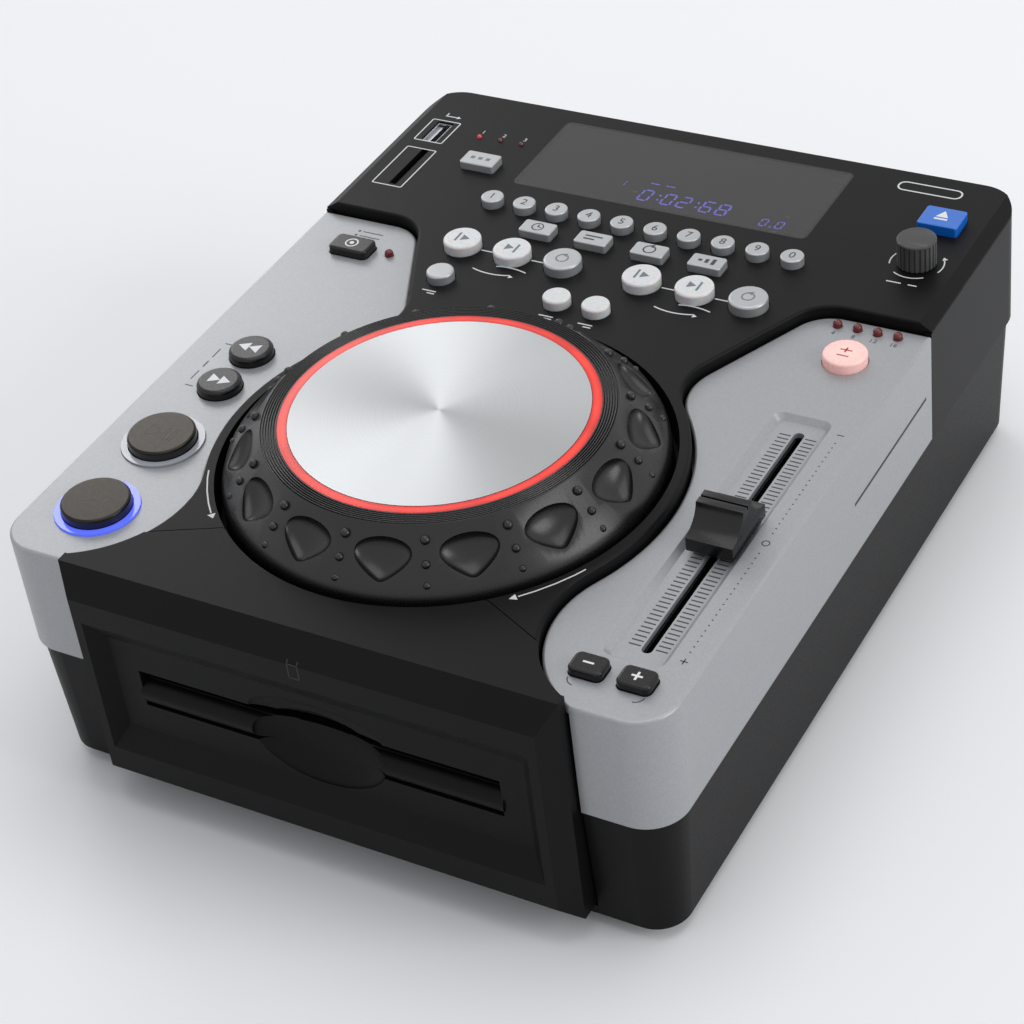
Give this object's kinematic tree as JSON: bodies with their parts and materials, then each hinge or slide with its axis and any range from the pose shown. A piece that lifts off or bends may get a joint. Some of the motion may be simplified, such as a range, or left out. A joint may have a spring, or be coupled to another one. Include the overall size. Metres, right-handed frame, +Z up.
{
  "type": "tabletop disc player",
  "caption": "Tabletop disc player with a slot-in drive, spinning jog wheel, sliding pitch fader, track knob, sprung keys, display and rear socket bay.",
  "frame": {"origin": "on the table under the middle of the player", "axes": "+Z up, -Y towards the user (the disc slot), +X to the user's right"},
  "size_m": [0.225, 0.2868, 0.1104],
  "materials": {
    "black_abs": "fine moulded texture",
    "jog_abs": "satin moulded",
    "silver_paint": "satin silver paint",
    "smoked_window": "polished",
    "dark_module": "moulded",
    "circuit_board": "solder mask",
    "spun_aluminium": "spun",
    "red_light_pipe": "polished, lit from below",
    "silver_key": "silver paint",
    "milky_key": "milky, satin",
    "black_key": "satin",
    "blue_key": "satin",
    "dark_chrome": "black chrome",
    "clear_ring": "clear",
    "red_lamp": "polished",
    "zinc_plate": "zinc plated",
    "steel": "zinc plated",
    "rubber": "moulded"
  },
  "bodies": {
    "case": {"base_tub": "black_abs", "control_deck": "black_abs", "left_side_cover": "silver_paint", "right_side_cover": "silver_paint", "front_bezel": "black_abs", "display_window": "smoked_window", "display_module": "dark_module", "control_board": "circuit_board", "main_board": "circuit_board", "power_supply": "circuit_board", "rear_sockets": "black_abs", "fader_body": "zinc_plate", "drive_chassis": "zinc_plate", "rubber_feet": "rubber", "case_screws": "steel", "indicator_leds": "red_lamp", "media_board": "circuit_board", "button_light_rings": "clear_ring"},
    "jog": {"jog_wheel": "jog_abs", "jog_disc": "spun_aluminium", "jog_light_ring": "red_light_pipe"},
    "knob": {"track_knob": "black_key"},
    "fader": {"fader_knob": "black_key"},
    "rocker": {"power_switch": "black_key"},
    "roller": {"loading_roller": "rubber"},
    "turntable": {"disc_turntable": "dark_module"},
    "sled": {"laser_sled": "dark_module"},
    "number_key_1": {"number_key_1": "silver_key"},
    "number_key_2": {"number_key_2": "silver_key"},
    "number_key_3": {"number_key_3": "silver_key"},
    "number_key_4": {"number_key_4": "silver_key"},
    "number_key_5": {"number_key_5": "silver_key"},
    "number_key_6": {"number_key_6": "silver_key"},
    "number_key_7": {"number_key_7": "silver_key"},
    "number_key_8": {"number_key_8": "silver_key"},
    "number_key_9": {"number_key_9": "silver_key"},
    "number_key_0": {"number_key_0": "silver_key"},
    "time_key": {"time_key": "silver_key"},
    "play_mode_key": {"play_mode_key": "silver_key"},
    "repeat_key": {"repeat_key": "silver_key"},
    "program_key": {"program_key": "silver_key"},
    "loop_in_1": {"loop_in_1": "milky_key"},
    "loop_out_1": {"loop_out_1": "milky_key"},
    "reloop_1": {"reloop_1": "silver_key"},
    "loop_in_2": {"loop_in_2": "milky_key"},
    "loop_out_2": {"loop_out_2": "milky_key"},
    "reloop_2": {"reloop_2": "silver_key"},
    "tap_key": {"tap_key": "silver_key"},
    "reverse_key": {"reverse_key": "milky_key"},
    "brake_key": {"brake_key": "milky_key"},
    "source_key": {"source_key": "silver_key"},
    "eject_key": {"eject_key": "blue_key"},
    "jog_mode_key": {"jog_mode_key": "black_key"},
    "search_back_key": {"search_back_key": "black_key"},
    "search_forward_key": {"search_forward_key": "black_key"},
    "cue_button": {"cue_button": "dark_chrome"},
    "play_button": {"play_button": "dark_chrome"},
    "pitch_button": {"pitch_button": "milky_key"},
    "pitch_down_key": {"pitch_down_key": "black_key"},
    "pitch_up_key": {"pitch_up_key": "black_key"}
  },
  "joints": [
    {"name": "jog_spin", "type": "hinge", "parent": "case", "child": "jog", "pos_m": [0, -0.0512, 0.09], "axis": [0, 0, 1], "continuous": true},
    {"name": "knob_spin", "type": "hinge", "parent": "case", "child": "knob", "pos_m": [0.0951, 0.0923, 0.09], "axis": [0, 0, 1], "continuous": true},
    {"name": "fader_slide", "type": "slide", "parent": "case", "child": "fader", "axis": [0, 1, 0], "range_m": [-0.05, 0.05]},
    {"name": "power_rock", "type": "hinge", "parent": "case", "child": "rocker", "pos_m": [0.052, 0.1334, 0.0676], "axis": [1, 0, 0], "range_deg": [-8, 8]},
    {"name": "roller_spin", "type": "hinge", "parent": "case", "child": "roller", "pos_m": [0, -0.1232, 0.0492], "axis": [1, 0, 0], "continuous": true},
    {"name": "turntable_spin", "type": "hinge", "parent": "case", "child": "turntable", "pos_m": [0, -0.0602, 0.0532], "axis": [0, 0, 1], "continuous": true},
    {"name": "sled_slide", "type": "slide", "parent": "case", "child": "sled", "axis": [0, 1, 0], "range_m": [0, 0.034]},
    {"name": "number_key_1_press", "type": "slide", "parent": "case", "child": "number_key_1", "axis": [0, 0, -1], "range_m": [0, 0.001], "stiffness_N_per_m": 300, "springref_m": -0.001},
    {"name": "number_key_2_press", "type": "slide", "parent": "case", "child": "number_key_2", "axis": [0, 0, -1], "range_m": [0, 0.001], "stiffness_N_per_m": 300, "springref_m": -0.001},
    {"name": "number_key_3_press", "type": "slide", "parent": "case", "child": "number_key_3", "axis": [0, 0, -1], "range_m": [0, 0.001], "stiffness_N_per_m": 300, "springref_m": -0.001},
    {"name": "number_key_4_press", "type": "slide", "parent": "case", "child": "number_key_4", "axis": [0, 0, -1], "range_m": [0, 0.001], "stiffness_N_per_m": 300, "springref_m": -0.001},
    {"name": "number_key_5_press", "type": "slide", "parent": "case", "child": "number_key_5", "axis": [0, 0, -1], "range_m": [0, 0.001], "stiffness_N_per_m": 300, "springref_m": -0.001},
    {"name": "number_key_6_press", "type": "slide", "parent": "case", "child": "number_key_6", "axis": [0, 0, -1], "range_m": [0, 0.001], "stiffness_N_per_m": 300, "springref_m": -0.001},
    {"name": "number_key_7_press", "type": "slide", "parent": "case", "child": "number_key_7", "axis": [0, 0, -1], "range_m": [0, 0.001], "stiffness_N_per_m": 300, "springref_m": -0.001},
    {"name": "number_key_8_press", "type": "slide", "parent": "case", "child": "number_key_8", "axis": [0, 0, -1], "range_m": [0, 0.001], "stiffness_N_per_m": 300, "springref_m": -0.001},
    {"name": "number_key_9_press", "type": "slide", "parent": "case", "child": "number_key_9", "axis": [0, 0, -1], "range_m": [0, 0.001], "stiffness_N_per_m": 300, "springref_m": -0.001},
    {"name": "number_key_0_press", "type": "slide", "parent": "case", "child": "number_key_0", "axis": [0, 0, -1], "range_m": [0, 0.001], "stiffness_N_per_m": 300, "springref_m": -0.001},
    {"name": "time_key_press", "type": "slide", "parent": "case", "child": "time_key", "axis": [0, 0, -1], "range_m": [0, 0.001], "stiffness_N_per_m": 300, "springref_m": -0.001},
    {"name": "play_mode_key_press", "type": "slide", "parent": "case", "child": "play_mode_key", "axis": [0, 0, -1], "range_m": [0, 0.001], "stiffness_N_per_m": 300, "springref_m": -0.001},
    {"name": "repeat_key_press", "type": "slide", "parent": "case", "child": "repeat_key", "axis": [0, 0, -1], "range_m": [0, 0.001], "stiffness_N_per_m": 300, "springref_m": -0.001},
    {"name": "program_key_press", "type": "slide", "parent": "case", "child": "program_key", "axis": [0, 0, -1], "range_m": [0, 0.001], "stiffness_N_per_m": 300, "springref_m": -0.001},
    {"name": "loop_in_1_press", "type": "slide", "parent": "case", "child": "loop_in_1", "axis": [0, 0, -1], "range_m": [0, 0.001], "stiffness_N_per_m": 300, "springref_m": -0.001},
    {"name": "loop_out_1_press", "type": "slide", "parent": "case", "child": "loop_out_1", "axis": [0, 0, -1], "range_m": [0, 0.001], "stiffness_N_per_m": 300, "springref_m": -0.001},
    {"name": "reloop_1_press", "type": "slide", "parent": "case", "child": "reloop_1", "axis": [0, 0, -1], "range_m": [0, 0.001], "stiffness_N_per_m": 300, "springref_m": -0.001},
    {"name": "loop_in_2_press", "type": "slide", "parent": "case", "child": "loop_in_2", "axis": [0, 0, -1], "range_m": [0, 0.001], "stiffness_N_per_m": 300, "springref_m": -0.001},
    {"name": "loop_out_2_press", "type": "slide", "parent": "case", "child": "loop_out_2", "axis": [0, 0, -1], "range_m": [0, 0.001], "stiffness_N_per_m": 300, "springref_m": -0.001},
    {"name": "reloop_2_press", "type": "slide", "parent": "case", "child": "reloop_2", "axis": [0, 0, -1], "range_m": [0, 0.001], "stiffness_N_per_m": 300, "springref_m": -0.001},
    {"name": "tap_key_press", "type": "slide", "parent": "case", "child": "tap_key", "axis": [0, 0, -1], "range_m": [0, 0.001], "stiffness_N_per_m": 300, "springref_m": -0.001},
    {"name": "reverse_key_press", "type": "slide", "parent": "case", "child": "reverse_key", "axis": [0, 0, -1], "range_m": [0, 0.001], "stiffness_N_per_m": 300, "springref_m": -0.001},
    {"name": "brake_key_press", "type": "slide", "parent": "case", "child": "brake_key", "axis": [0, 0, -1], "range_m": [0, 0.001], "stiffness_N_per_m": 300, "springref_m": -0.001},
    {"name": "source_key_press", "type": "slide", "parent": "case", "child": "source_key", "axis": [0, 0, -1], "range_m": [0, 0.001], "stiffness_N_per_m": 300, "springref_m": -0.001},
    {"name": "eject_key_press", "type": "slide", "parent": "case", "child": "eject_key", "axis": [0, 0, -1], "range_m": [0, 0.001], "stiffness_N_per_m": 300, "springref_m": -0.001},
    {"name": "jog_mode_key_press", "type": "slide", "parent": "case", "child": "jog_mode_key", "axis": [0, 0, -1], "range_m": [0, 0.001], "stiffness_N_per_m": 300, "springref_m": -0.001},
    {"name": "search_back_key_press", "type": "slide", "parent": "case", "child": "search_back_key", "axis": [0, 0, -1], "range_m": [0, 0.001], "stiffness_N_per_m": 300, "springref_m": -0.001},
    {"name": "search_forward_key_press", "type": "slide", "parent": "case", "child": "search_forward_key", "axis": [0, 0, -1], "range_m": [0, 0.001], "stiffness_N_per_m": 300, "springref_m": -0.001},
    {"name": "cue_button_press", "type": "slide", "parent": "case", "child": "cue_button", "axis": [0, 0, -1], "range_m": [0, 0.001], "stiffness_N_per_m": 300, "springref_m": -0.001},
    {"name": "play_button_press", "type": "slide", "parent": "case", "child": "play_button", "axis": [0, 0, -1], "range_m": [0, 0.001], "stiffness_N_per_m": 300, "springref_m": -0.001},
    {"name": "pitch_button_press", "type": "slide", "parent": "case", "child": "pitch_button", "axis": [0, 0, -1], "range_m": [0, 0.001], "stiffness_N_per_m": 300, "springref_m": -0.001},
    {"name": "pitch_down_key_press", "type": "slide", "parent": "case", "child": "pitch_down_key", "axis": [0, 0, -1], "range_m": [0, 0.001], "stiffness_N_per_m": 300, "springref_m": -0.001},
    {"name": "pitch_up_key_press", "type": "slide", "parent": "case", "child": "pitch_up_key", "axis": [0, 0, -1], "range_m": [0, 0.001], "stiffness_N_per_m": 300, "springref_m": -0.001}
  ]
}
